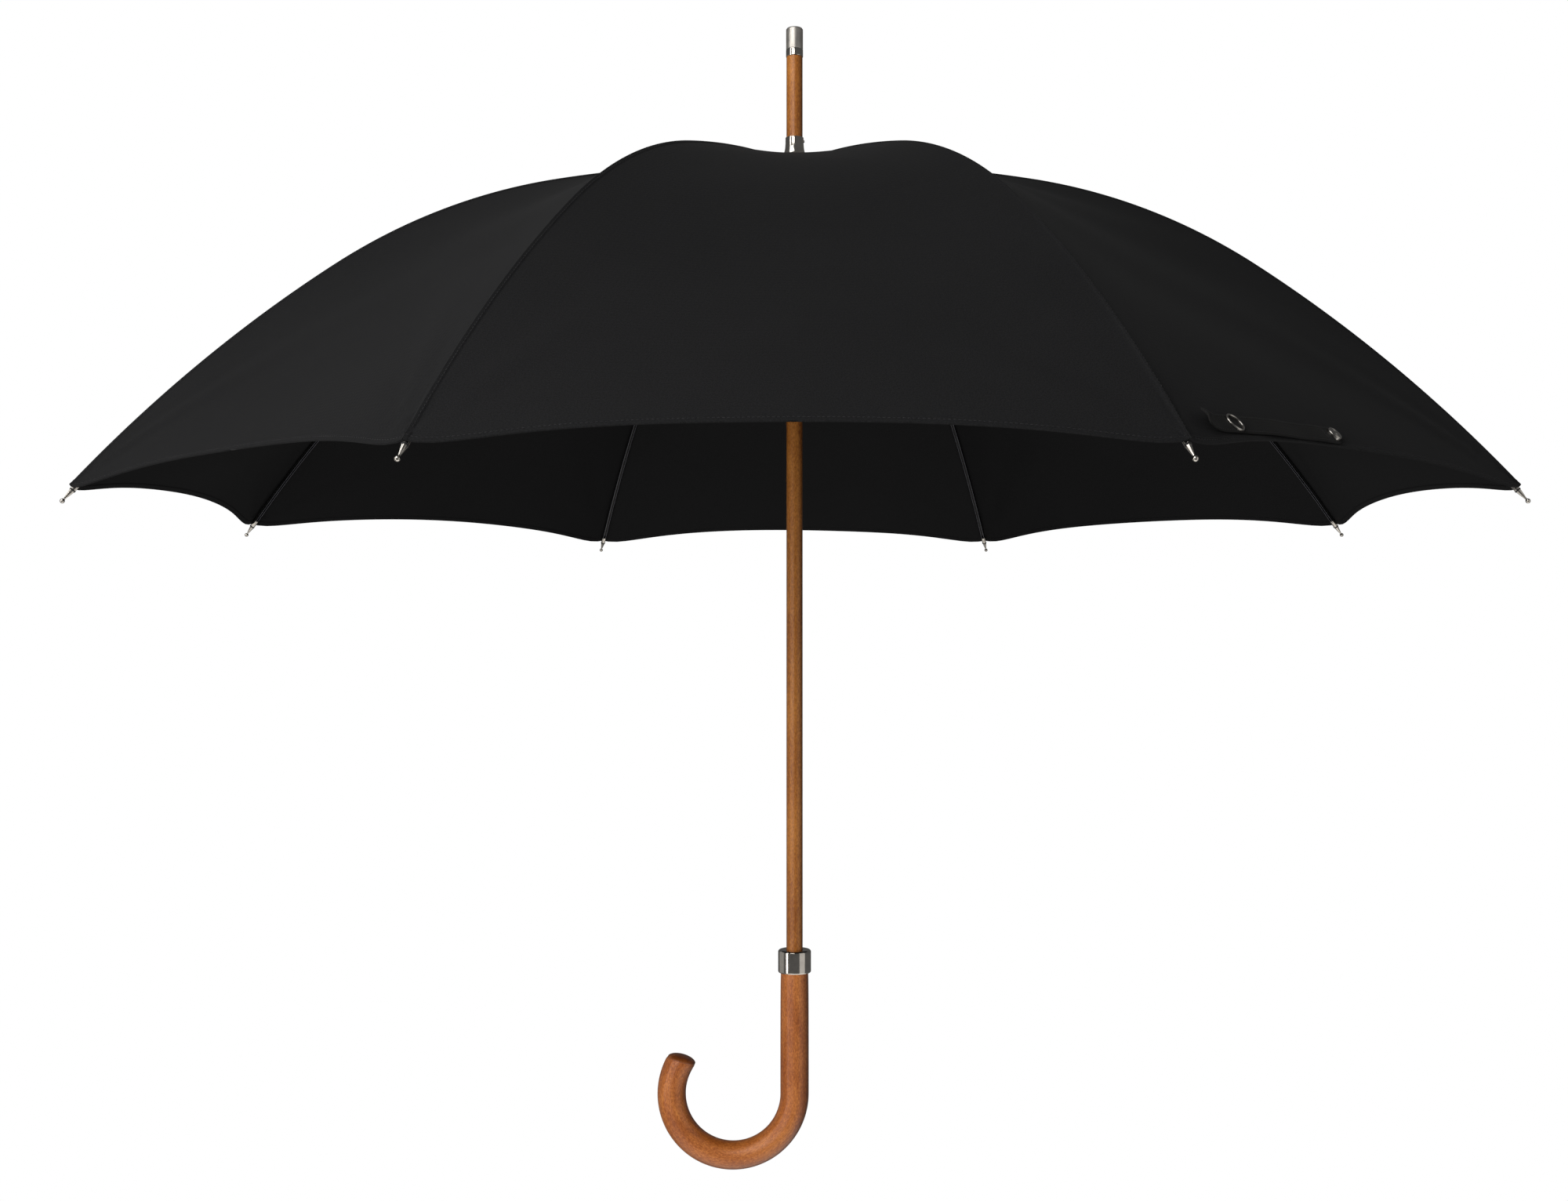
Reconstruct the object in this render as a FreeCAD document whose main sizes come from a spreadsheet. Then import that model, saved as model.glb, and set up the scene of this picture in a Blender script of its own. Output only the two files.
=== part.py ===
# Stick umbrella, open, standing on the axis of its shaft.
# Origin: on the shaft axis at the middle of the straight grip. +Z runs up to the
# ferrule, and the crook of the handle points to -X. Millimetres throughout.
import FreeCAD, Part
import Sketcher
import math
import os
from FreeCAD import Placement, Rotation, Vector

doc = FreeCAD.newDocument("stick_umbrella")
sheet = doc.addObject("Spreadsheet::Sheet", "Sizes")

SIZES = [
    # wooden stick
    ("shaft_radius", 6.5),
    ("spigot_radius", 5.6),
    ("shaft_foot", 10.0),
    ("spike_top", 783.1),
    ("spigot_top", 801.0),
    # metal end of the stick
    ("ferrule_radius", 6.8),
    ("ferrule_split", 789.2),
    ("ferrule_top", 806.7),
    ("ferrule_chamfer", 0.9),
    ("band_radius", 7.0),
    # crook handle
    ("grip_radius", 11.25),
    ("grip_half_length", 48.1),
    ("crook_radius", 49.0),
    ("crook_angle", 213.0),
    ("crook_cut_slope", 15.0),
    ("plug_height", 4.0),
    ("plug_radius", 11.1),
    ("tenon_radius", 9.0),
    ("tenon_height", 12.0),
    ("collar_radius", 13.15),
    ("collar_height", 18.1),
    ("collar_round", 1.3),
    # crown of the frame
    ("notch_radius", 11.6),
    ("notch_foot", 686.0),
    ("pivot_radius", 8.5),
    ("wire_radius", 0.5),
    ("cap_neck_radius", 7.3),
    ("cap_rim_radius", 15.0),
    ("cap_rim_height", 696.4),
    ("cap_top", 717.7),
    ("cap_wall", 0.6),
    ("nail_radius", 0.7),
    ("nail_height", 714.8),
    # runner
    ("runner_bore", 6.8),
    ("sleeve_radius", 10.4),
    ("sleeve_foot", 495.0),
    ("lip_radius", 11.2),
    ("lip_height", 3.0),
    ("hub_radius", 14.0),
    ("hub_foot", 528.0),
    ("hub_top", 538.5),
    ("runner_pivot_radius", 12.5),
    ("runner_pivot_height", 533.0),
    ("keyway_radius", 9.6),
    ("keyway_width", 2.4),
    # ribs, as seen from the side: three tangent arcs, each steeper than the last
    ("canopy_crown", 695.5),
    ("canopy_eye", 8.0),
    ("crown_slope", 4.7),
    ("shoulder_slope", 13.9),
    ("skirt_slope", 36.6),
    ("edge_slope", 49.6),
    ("crown_length", 190.0),
    ("shoulder_length", 185.0),
    ("skirt_length", 244.0),
    ("rib_width", 3.0),
    ("rib_height", 2.4),
    ("rib_wall", 0.5),
    ("rib_depth", 1.9),
    ("tongue_width", 1.4),
    ("tongue_length", 16.0),
    ("eye_radius", 1.5),
    ("eye_hole", 0.6),
    ("joint_distance", 276.0),
    ("rivet_radius", 0.8),
    ("rivet_play", 0.05),
    ("fork_length", 10.0),
    ("fork_wall", 0.6),
    ("fork_play", 0.1),
    ("tip_length", 10.0),
    ("tip_base_radius", 2.0),
    ("tip_neck_radius", 0.7),
    ("ball_radius", 1.7),
    ("pin_radius", 0.9),
    # canopy of eight gores
    ("rib_count", 8),
    ("fabric_thickness", 0.8),
    ("panel_gap", 0.15),
    ("panel_sag", 12.0),
    ("hem_rise", 15.0),
    # closing strap
    ("strap_length", 168.0),
    ("strap_width", 15.0),
    ("strap_rise", 4.5),
    ("strap_climb", 7.0),
    ("strap_start", 18.0),
    ("strap_lift", 0.35),
    ("stud_radius", 6.6),
    ("stud_hole", 5.3),
    ("button_radius", 5.0),
    ("button_height", 2.3),
    # sprung catches in the shaft
    ("catch_width", 1.6),
    ("slot_width", 2.2),
    ("catch_reach", 9.0),
    ("catch_length", 28.0),
    ("catch_pin_offset", 2.6),
    ("catch_pin_inset", 1.0),
    ("top_catch_height", 494.7),
    ("hand_catch_height", 134.6),
]
for row, (word, size) in enumerate(SIZES, start=1):
    sheet.set(f"A{row}", word)
    sheet.set(f"B{row}", str(size))
    sheet.setAlias(f"B{row}", word)
doc.recompute()


def size(expression):
    """The value of a formula over the sheet's words."""
    value = sheet.evalExpression(expression)
    return float(getattr(value, "Value", value))


def bind(thing, prop, expression):
    """Bind a property to a formula over the sheet's words."""
    words = sorted((word for word, _ in SIZES), key=len, reverse=True)
    for number, word in enumerate(words):
        expression = expression.replace(word, f"<{number}>")
    for number, word in enumerate(words):
        expression = expression.replace(f"<{number}>", f"{sheet.Name}.{word}")
    thing.setExpression(prop, expression)


pieces = []


def keep(thing, node):
    """Name a sub-part after its node and keep it for export."""
    thing.Label = node
    pieces.append(thing)
    return thing


# ---------------------------------------------------------------- helpers: primitives


def cylinder(name, radius, height, foot="0", x="0", y="0", axis="Z"):
    """A cylinder bound to the sheet. Its axis is Z, X or Y and it starts at its foot."""
    thing = doc.addObject("Part::Cylinder", name)
    bind(thing, "Radius", radius)
    bind(thing, "Height", height)
    turns = {
        "Z": Rotation(),
        "X": Rotation(Vector(0, 1, 0), 90),
        "Y": Rotation(Vector(1, 0, 0), -90),
    }
    thing.Placement = Placement(Vector(), turns[axis])
    for letter, formula in (("x", x), ("y", y), ("z", foot)):
        if formula != "0":
            bind(thing, f"Placement.Base.{letter}", formula)
    return thing


def box(name, corner, sides):
    """A box bound to the sheet, from its lowest corner."""
    thing = doc.addObject("Part::Box", name)
    for prop, formula in zip(("Length", "Width", "Height"), sides):
        bind(thing, prop, formula)
    for letter, formula in zip("xyz", corner):
        bind(thing, f"Placement.Base.{letter}", formula)
    return thing


def fused(name, things):
    thing = doc.addObject("Part::MultiFuse", name)
    thing.Shapes = things
    return thing


def cut(name, base, tools):
    """The base with every tool cut away."""
    thing = doc.addObject("Part::Cut", name)
    thing.Base = base
    thing.Tool = tools[0] if len(tools) == 1 else fused(name + "_tools", tools)
    return thing


def turned(name, outline):
    """A PartDesign body: a closed outline of (radius, height) formulas turned about Z."""
    body = doc.addObject("PartDesign::Body", name)
    sketch = body.newObject("Sketcher::SketchObject", name + "_outline")
    plane = next(f for f in body.Origin.OriginFeatures if f.Role == "XZ_Plane")
    sketch.AttachmentSupport = [(plane, "")]
    sketch.MapMode = "FlatFace"
    corners = [Vector(size(radius), size(height), 0) for radius, height in outline]
    count = len(corners)
    for number in range(count):
        line = Part.LineSegment(corners[number], corners[(number + 1) % count])
        sketch.addGeometry(line, False)
    for number in range(count):
        sketch.addConstraint(
            Sketcher.Constraint("Coincident", number, 2, (number + 1) % count, 1)
        )
    for number, formulas in enumerate(outline):
        for kind, coordinate, formula in zip(
            ("DistanceX", "DistanceY"), corners[number], formulas
        ):
            datum = sketch.addConstraint(
                Sketcher.Constraint(kind, -1, 1, number, 1, coordinate)
            )
            bind(sketch, f"Constraints[{datum}]", formula)
    turn = body.newObject("PartDesign::Revolution", name + "_turn")
    turn.Profile = sketch
    turn.ReferenceAxis = (sketch, ["V_Axis"])
    turn.Angle = 360
    body.Tip = turn
    sketch.Visibility = False
    return body


def shaped(node, shape, where=None):
    """A sub-part whose solid is worked out from the sheet's sizes."""
    thing = doc.addObject("Part::Feature", node)
    thing.Shape = shape
    thing.Placement = where or Placement()
    return keep(thing, node)


# ---------------------------------------------------------------- stick and handle

shaft_body = turned(
    "shaft_blank",
    [
        ("0", "shaft_foot"),
        ("shaft_radius", "shaft_foot"),
        ("shaft_radius", "spike_top"),
        ("spigot_radius", "spike_top"),
        ("spigot_radius", "spigot_top"),
        ("0", "spigot_top"),
    ],
)


def catch_slot(name, foot):
    """The narrow pocket that a catch sinks into, open to +Y."""
    corner = ("-slot_width / 2", "-1", foot)
    return box(name, corner, ("slot_width", "shaft_radius + 2", "catch_length + 4.4"))


def cross_pin(name, height, inset="0"):
    """A catch's pin along X, or its hole: each end lies inset from the shaft's width."""
    return cylinder(
        name,
        "wire_radius + 0.1",
        f"2 * (shaft_radius - {inset})",
        foot=height,
        x=f"{inset} - shaft_radius",
        y="catch_pin_offset",
        axis="X",
    )


top_pin_height = "top_catch_height - catch_length"
hand_pin_height = "hand_catch_height + catch_length"
keep(
    cut(
        "shaft",
        shaft_body,
        [
            catch_slot("top_slot", "top_catch_height - catch_length - 2.4"),
            catch_slot("hand_slot", "hand_catch_height - 2"),
            cross_pin("top_pin_hole", top_pin_height),
            cross_pin("hand_pin_hole", hand_pin_height),
            cylinder(
                "nail_hole",
                "nail_radius",
                "shaft_radius",
                foot="nail_height",
                x="shaft_radius / 2",
                axis="X",
            ),
        ],
    ),
    "shaft",
)
keep(
    fused(
        "spring_pins",
        [
            cross_pin("top_pin", top_pin_height, "catch_pin_inset"),
            cross_pin("hand_pin", hand_pin_height, "catch_pin_inset"),
        ],
    ),
    "spring_pins",
)

stem = cylinder("stem", "grip_radius", "2 * grip_half_length", foot="-grip_half_length")
tenon = cylinder("tenon", "tenon_radius", "tenon_height", foot="grip_half_length")
crook = doc.addObject("Part::Torus", "crook")
bind(crook, "Radius1", "crook_radius")
bind(crook, "Radius2", "grip_radius")
bind(crook, "Angle3", "crook_angle + 12")
crook.Placement = Placement(Vector(), Rotation(Vector(1, 0, 0), -90))
bind(crook, "Placement.Base.x", "-crook_radius")
bind(crook, "Placement.Base.z", "-grip_half_length")
bore_depth = "grip_half_length + tenon_height - shaft_foot"
bore = cylinder("shaft_bore", "shaft_radius", bore_depth, foot="shaft_foot")

# The crook is sawn off nearly level, across its end, and closed by a low dome.
end_turn = math.radians(size("crook_angle"))
end_place = Placement(
    Vector(
        -size("crook_radius") * (1 - math.cos(end_turn)),
        0,
        -size("grip_half_length") - size("crook_radius") * math.sin(end_turn),
    ),
    Rotation(Vector(0, 1, 0), size("crook_cut_slope")),
)
offcut = doc.addObject("Part::Cylinder", "offcut")
bind(offcut, "Radius", "2 * grip_radius")
bind(offcut, "Height", "2 * grip_radius")
offcut.Placement = end_place
keep(cut("handle", fused("handle_blank", [stem, tenon, crook]), [bore, offcut]), "handle")
plug = turned(
    "handle_end",
    [
        ("0", "0"),
        ("plug_radius", "0"),
        ("plug_radius * 0.96", "plug_height * 0.3"),
        ("plug_radius * 0.82", "plug_height * 0.65"),
        ("plug_radius * 0.5", "plug_height * 0.92"),
        ("0", "plug_height"),
    ],
)
plug.Placement = end_place
keep(plug, "handle_end")

keep(
    turned(
        "handle_collar",
        [
            ("tenon_radius", "grip_half_length"),
            ("collar_radius - collar_round", "grip_half_length"),
            ("collar_radius - collar_round * 0.3", "grip_half_length + collar_round * 0.3"),
            ("collar_radius", "grip_half_length + collar_round"),
            ("collar_radius", "grip_half_length + collar_height - collar_round"),
            (
                "collar_radius - collar_round * 0.3",
                "grip_half_length + collar_height - collar_round * 0.3",
            ),
            ("collar_radius - collar_round", "grip_half_length + collar_height"),
            ("shaft_radius", "grip_half_length + collar_height"),
            ("shaft_radius", "grip_half_length + tenon_height"),
            ("tenon_radius", "grip_half_length + tenon_height"),
        ],
    ),
    "handle_collar",
)

# ---------------------------------------------------------------- ferrule and open cap

keep(
    turned(
        "ferrule_cap",
        [
            ("0", "spigot_top"),
            ("spigot_radius", "spigot_top"),
            ("spigot_radius", "ferrule_split"),
            ("ferrule_radius", "ferrule_split"),
            ("ferrule_radius", "ferrule_top - ferrule_chamfer"),
            ("ferrule_radius - ferrule_chamfer", "ferrule_top"),
            ("0", "ferrule_top"),
        ],
    ),
    "ferrule_cap",
)
keep(
    turned(
        "ferrule_band",
        [
            ("spigot_radius", "spike_top"),
            ("band_radius", "spike_top"),
            ("band_radius", "ferrule_split"),
            ("spigot_radius", "ferrule_split"),
        ],
    ),
    "ferrule_band",
)

cap_blank = turned(
    "open_cap_blank",
    [
        ("shaft_radius", "cap_top"),
        ("cap_neck_radius", "cap_top"),
        ("cap_neck_radius", "cap_top - 4"),
        ("cap_neck_radius + 0.9", "cap_top - 9"),
        ("cap_neck_radius + 3", "cap_top - 14.5"),
        ("cap_rim_radius", "cap_rim_height + 1.2"),
        ("cap_rim_radius", "cap_rim_height"),
        ("cap_rim_radius - cap_wall - 0.8", "cap_rim_height"),
        ("cap_neck_radius + 3 - cap_wall", "cap_top - 15.3"),
        ("cap_neck_radius + 0.9 - cap_wall", "cap_top - 9.3"),
        ("shaft_radius", "cap_top - 4"),
    ],
)
keep(
    cut(
        "open_cap",
        cap_blank,
        [
            cylinder(
                "cap_nail_hole",
                "nail_radius",
                "cap_neck_radius",
                foot="nail_height",
                x="shaft_radius / 2",
                axis="X",
            )
        ],
    ),
    "open_cap",
)
nail_shank = cylinder(
    "nail_shank",
    "nail_radius",
    "cap_neck_radius + 0.4 - shaft_radius / 2",
    foot="nail_height",
    x="shaft_radius / 2",
    axis="X",
)
nail_head = cylinder(
    "nail_head",
    "nail_radius * 1.7",
    "0.7",
    foot="nail_height",
    x="cap_neck_radius + 0.02",
    axis="X",
)
keep(fused("cap_nail", [nail_shank, nail_head]), "cap_nail")

# ---------------------------------------------------------------- notch and runner


def ring(name, radius, wire, height):
    """A round wire bent into a ring about the shaft."""
    thing = doc.addObject("Part::Torus", name)
    bind(thing, "Radius1", radius)
    bind(thing, "Radius2", wire)
    bind(thing, "Placement.Base.z", height)
    return thing


def rib_slots(name, inner, foot, height, width):
    """Eight radial slots, one at each rib, as one compound of boxes."""
    slots = []
    for number in range(int(size("rib_count"))):
        corner = Vector(size(inner), -size(width) / 2, size(foot))
        slot = Part.makeBox(20, size(width), size(height), corner)
        slot.rotate(Vector(), Vector(0, 0, 1), rib_azimuth(number))
        slots.append(slot)
    thing = doc.addObject("Part::Feature", name)
    thing.Shape = Part.makeCompound(slots)
    return thing


def rib_azimuth(number):
    """Degrees from +X to a rib: the crook points midway between two ribs."""
    return (number + 0.5) * 360 / size("rib_count")


notch_centre = "canopy_crown - rib_depth - rib_height / 2"
notch_blank = turned(
    "notch_blank",
    [
        ("shaft_radius", "notch_foot"),
        ("notch_radius - 1", "notch_foot"),
        ("notch_radius", "notch_foot + 1"),
        ("notch_radius", "canopy_crown - 4.5"),
        ("notch_radius - 2.2", "canopy_crown - 2"),
        ("shaft_radius", "canopy_crown - 2"),
    ],
)
notch_slots = rib_slots("notch_slots", "shaft_radius + 0.2", "notch_foot - 1", "12", "2")
notch_groove = ring("notch_groove", "pivot_radius", "wire_radius + 0.05", notch_centre)
keep(cut("notch", notch_blank, [notch_slots, notch_groove]), "notch")
keep(ring("notch_wire", "pivot_radius", "wire_radius", notch_centre), "notch_wire")

runner_blank = turned(
    "runner_blank",
    [
        ("runner_bore", "sleeve_foot"),
        ("lip_radius", "sleeve_foot"),
        ("lip_radius", "sleeve_foot + lip_height"),
        ("sleeve_radius", "sleeve_foot + lip_height + 0.8"),
        ("sleeve_radius", "hub_foot - 3.5"),
        ("hub_radius", "hub_foot"),
        ("hub_radius", "hub_top - 1"),
        ("hub_radius - 1", "hub_top"),
        ("runner_bore", "hub_top"),
    ],
)
keyway = box(
    "keyway",
    ("-keyway_width / 2", "0", "sleeve_foot - 1"),
    ("keyway_width", "keyway_radius", "hub_top - sleeve_foot + 2"),
)
catch_window = box(
    "catch_window",
    ("-keyway_width / 2", "0", "sleeve_foot + 6"),
    ("keyway_width", "hub_radius", "10"),
)
runner_slots = rib_slots("runner_slots", "sleeve_radius + 0.15", "sleeve_foot + 24", "30", "2")
runner_groove = ring(
    "runner_groove", "runner_pivot_radius", "wire_radius + 0.05", "runner_pivot_height"
)
keep(
    cut("runner", runner_blank, [keyway, catch_window, runner_slots, runner_groove]),
    "runner",
)
runner_ring = ring(
    "runner_ring", "runner_pivot_radius", "wire_radius", "runner_pivot_height"
)
wire_slots = rib_slots("wire_slots", "sleeve_radius", "sleeve_foot + 24", "30", "2")
keep(cut("runner_wire", runner_ring, [wire_slots]), "runner_wire")

# ---------------------------------------------------------------- ribs and stretchers

LENGTHS = [size(word) for word in ("crown_length", "shoulder_length", "skirt_length")]
SLOPES = [
    math.radians(size(word))
    for word in ("crown_slope", "shoulder_slope", "skirt_slope", "edge_slope")
]
RIDGE_LENGTH = sum(LENGTHS)
ridge_arcs = []
start = Vector(size("canopy_eye"), 0, size("canopy_crown"))
for length, slope, next_slope in zip(LENGTHS, SLOPES, SLOPES[1:]):
    radius = length / (next_slope - slope)
    centre = start - radius * Vector(math.sin(slope), 0, math.cos(slope))
    ridge_arcs.append((centre, radius, slope))
    start = centre + radius * Vector(math.sin(next_slope), 0, math.cos(next_slope))


def ridge(distance, depth=0.0):
    """A point in the rib's plane: so far along the seam, and so far under it."""
    number = 0
    while number < 2 and distance > LENGTHS[number]:
        distance -= LENGTHS[number]
        number += 1
    centre, radius, slope = ridge_arcs[number]
    turn = slope + distance / radius
    return centre + (radius - depth) * Vector(math.sin(turn), 0, math.cos(turn))


def band(near, far, top, bottom):
    """The wire round a curved band, from one distance to another, between two depths."""
    stations = [near]
    total = 0
    for length in LENGTHS:
        total += length
        if near < total < far:
            stations.append(total)
    stations.append(far)
    edges = []
    for depth, order in ((top, stations), (bottom, stations[::-1])):
        for first, last in zip(order, order[1:]):
            middle = ridge((first + last) / 2, depth)
            arc = Part.Arc(ridge(first, depth), middle, ridge(last, depth))
            edges.append(arc.toShape())
        if depth == top:
            edges.append(Part.makeLine(ridge(far, top), ridge(far, bottom)))
    edges.append(Part.makeLine(ridge(near, bottom), ridge(near, top)))
    return Part.Wire(edges)


def slab(wire, width):
    """A flat outline in the XZ plane, thickened evenly about that plane."""
    face = Part.Face(wire)
    face.translate(Vector(0, -width / 2, 0))
    return face.extrude(Vector(0, width, 0))


def across(radius, width, centre):
    """A round bar along Y, centred on a point."""
    foot = centre - Vector(0, width / 2, 0)
    return Part.makeCylinder(radius, width, foot, Vector(0, 1, 0))


rib_depth = size("rib_depth")
rib_height = size("rib_height")
rib_width = size("rib_width")
rib_wall = size("rib_wall")
rib_middle = rib_depth + rib_height / 2
eye_radius = size("eye_radius")
tongue_width = size("tongue_width")
notch_pivot = Vector(size("pivot_radius"), 0, size(notch_centre))
rib_joint = ridge(size("joint_distance"), rib_middle)
runner_pivot = Vector(size("runner_pivot_radius"), 0, size("runner_pivot_height"))


def make_rib():
    """A fluted steel rib: a channel open below, with a flat eye and a round end."""
    tongue_length = size("tongue_length")
    outside = band(tongue_length, RIDGE_LENGTH, rib_depth, rib_depth + rib_height)
    inside = band(
        tongue_length - 1, RIDGE_LENGTH - 6, rib_depth + rib_wall, rib_depth + rib_height + 1
    )
    channel = slab(outside, rib_width).cut(slab(inside, rib_width - 2 * rib_wall))
    flat = slab(
        band(0.5, tongue_length + 10, rib_depth + 0.1, rib_depth + rib_height - 0.1),
        tongue_width,
    )
    eye = across(eye_radius, tongue_width, notch_pivot)
    end = ridge(RIDGE_LENGTH - 1, rib_middle)
    along = ridge(RIDGE_LENGTH, rib_middle) - ridge(RIDGE_LENGTH - 1, rib_middle)
    pin = Part.makeCylinder(size("pin_radius"), 8, end, along)
    rib = channel.fuse([flat, eye, pin])
    holes = [
        across(size("eye_hole"), 4, notch_pivot),
        across(size("rivet_radius + rivet_play"), 6, rib_joint),
    ]
    return rib.cut(holes).removeSplitter()


def make_tip():
    """The metal cup that the canopy is sewn to: a fluted cone ending in a ball."""
    along = ridge(RIDGE_LENGTH, rib_middle) - ridge(RIDGE_LENGTH - 1, rib_middle)
    along.normalize()
    foot = ridge(RIDGE_LENGTH, rib_middle) + along * 0.3
    tip_length = size("tip_length")
    cone = Part.makeCone(
        size("tip_base_radius"), size("tip_neck_radius"), tip_length, foot, along
    )
    ball = Part.makeSphere(size("ball_radius"), foot + along * (tip_length + 1.2))
    pin_hole_shape = Part.makeCylinder(size("pin_radius"), 6.8, foot - along * 0.1, along)
    return cone.fuse(ball).cut(pin_hole_shape).removeSplitter()


def make_stretcher():
    """The strut from the rib to the runner, laid out along +X from the rib's joint."""
    wall = size("fork_wall")
    width = rib_width + 2 * (size("fork_play") + wall)
    half = rib_height / 2
    span = (runner_pivot - rib_joint).Length
    fork = size("fork_length")
    body = Part.makeBox(
        span - 12, width, rib_height, Vector(0, -width / 2, -half)
    )
    ears = across(half, width, Vector())
    groove = Part.makeBox(
        span, width - 2 * wall, rib_height, Vector(-half - 1, wall - width / 2, -half - wall)
    )
    mouth = Part.makeBox(
        fork + 3, width - 2 * wall, 2 * rib_height, Vector(-3, wall - width / 2, -rib_height)
    )
    channel = body.fuse(ears).cut([groove, mouth])
    tongue = Part.makeBox(
        28, tongue_width, rib_height - 0.2, Vector(span - 28, -tongue_width / 2, 0.1 - half)
    )
    eye = across(eye_radius, tongue_width, Vector(span, 0, 0))
    strut = channel.fuse([tongue, eye])
    holes = [
        across(size("rivet_radius"), width + 2, Vector()),
        across(size("eye_hole"), 4, Vector(span, 0, 0)),
    ]
    rivet = across(size("rivet_radius"), width + 0.8, Vector())
    return Part.makeCompound([strut.cut(holes).removeSplitter(), rivet])


def stretcher_place():
    """Where the strut lies in the rib's plane when the umbrella is open."""
    reach = runner_pivot - rib_joint
    reach.normalize()
    up = reach.cross(Vector(0, 1, 0))
    return Placement(rib_joint, Rotation(reach, Vector(0, -1, 0), up, "XZY"))


rib_shape = make_rib()
tip_shape = make_tip()
stretcher_shape = make_stretcher()
for number in range(int(size("rib_count"))):
    turn = Placement(Vector(), Rotation(Vector(0, 0, 1), rib_azimuth(number)))
    shaped(f"rib_{number + 1}", rib_shape.copy(), turn)
    shaped(f"tip_{number + 1}", tip_shape.copy(), turn)
    shaped(
        f"stretcher_{number + 1}", stretcher_shape.copy(), turn.multiply(stretcher_place())
    )

# ---------------------------------------------------------------- canopy

HALF_GORE = math.pi / size("rib_count")


def panel_point(distance, share, lift=0.0):
    """A point of a gore: share 0 lies on its seam in the XZ plane, 1 on its middle line."""
    seam = ridge(distance)
    middle = Vector(
        seam.x * math.cos(HALF_GORE) ** 2, seam.x * math.cos(HALF_GORE) * math.sin(HALF_GORE), seam.z
    )
    along = ridge(distance + 0.5) - ridge(distance - 0.5)
    along.normalize()
    normal = Vector(-along.z * math.cos(HALF_GORE), -along.z * math.sin(HALF_GORE), along.x)
    progress = distance / RIDGE_LENGTH
    sag = size("panel_sag") * math.sin(math.pi * progress**1.2)
    fullness = 1 - (1 - share) ** 2
    return seam + (middle - seam) * share - normal * (sag * fullness - lift)


def panel_sheet(first, last, shares, lift, thickness, rows=16):
    """A thin closed solid between two distances, each given as a function of the share."""
    grid = []
    for share in shares:
        near, far = first(share), last(share)
        line = []
        for step in range(rows):
            distance = near + (far - near) * step / (rows - 1)
            width = distance_to_middle(distance)
            inset = size("panel_gap") / width
            line.append(panel_point(distance, inset + share * (1 - 2 * inset), lift))
        grid.append(line)
    surface = Part.BSplineSurface()
    surface.interpolate(grid)
    return surface.toShape().extrude(Vector(0, 0, -thickness))


def distance_to_middle(distance):
    return (panel_point(distance, 1) - panel_point(distance, 0)).Length


def hem(share):
    """How far along the seam the hem lies: the cut edge rises between two ribs."""
    return RIDGE_LENGTH - size("hem_rise") * (1 - (1 - share) ** 2)


PANEL_SHARES = (0, 0.25, 0.5, 0.75, 1)
half_panel = panel_sheet(
    lambda share: 1.0, hem, PANEL_SHARES, 0, size("fabric_thickness")
)
mirrored_panel = half_panel.mirror(Vector(), Vector(0, 1, 0))
for number in range(int(size("rib_count"))):
    following = (number + 1) % int(size("rib_count"))
    turn = Placement(Vector(), Rotation(Vector(0, 0, 1), rib_azimuth(number)))
    next_turn = Placement(Vector(), Rotation(Vector(0, 0, 1), rib_azimuth(following)))
    shaped(f"gore_{number + 1}a", half_panel.copy(), turn)
    shaped(f"gore_{number + 1}b", mirrored_panel.copy(), next_turn)

# ---------------------------------------------------------------- closing strap

STRAP_RIB = 6
strap_turn = Placement(Vector(), Rotation(Vector(0, 0, 1), rib_azimuth(STRAP_RIB)))
hem_width = distance_to_middle(RIDGE_LENGTH - size("hem_rise"))
strap_from = size("strap_start") / hem_width
strap_to = strap_from + size("strap_length") / hem_width


def strap_share(step):
    return strap_from + (strap_to - strap_from) * step


def strap_line(step, rise):
    """How far along the seam the strap lies: its free end stands higher above the hem."""
    return hem(strap_share(step)) - rise - size("strap_climb") * (1 - step) ** 2


strap_grid = []
for step in (0, 0.25, 0.5, 0.75, 1):
    line = []
    for row in range(4):
        rise = size("strap_rise") + size("strap_width") * row / 3
        lift = size("strap_lift") + 0.8
        line.append(panel_point(strap_line(step, rise), strap_share(step), lift))
    strap_grid.append(line)
strap_surface = Part.BSplineSurface()
strap_surface.interpolate(strap_grid)
strap_solid = strap_surface.toShape().extrude(Vector(0, 0, -0.8))


def strap_normal(step):
    middle = size("strap_rise") + size("strap_width") / 2
    low = panel_point(strap_line(step, middle), strap_share(step), 0)
    high = panel_point(strap_line(step, middle), strap_share(step), 1)
    return low, high - low


def disc(step, radius, hole, foot, height):
    """A round fitting on the strap, standing along the fabric's normal."""
    centre, normal = strap_normal(step)
    solid = Part.makeCylinder(radius, height, centre + normal * foot, normal)
    if hole:
        solid = solid.cut(Part.makeCylinder(hole, height + 4, centre, normal))
    return solid


STUD_AT, BUTTON_AT = 0.23, 0.945
stud_seat = disc(STUD_AT, size("stud_radius + 0.3"), 0, 0.2, 3)
button_seat = disc(BUTTON_AT, size("button_radius + 0.3"), 0, 0.2, 3)
shaped("closing_strap", strap_solid.cut([stud_seat, button_seat]), strap_turn)
shaped("strap_ring", disc(STUD_AT, size("stud_radius"), size("stud_hole"), 0.5, 1.4), strap_turn)
button_height = size("button_height")
shaped("strap_button", disc(BUTTON_AT, size("button_radius"), 0, 0.5, button_height), strap_turn)

# ---------------------------------------------------------------- sprung catches


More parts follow.
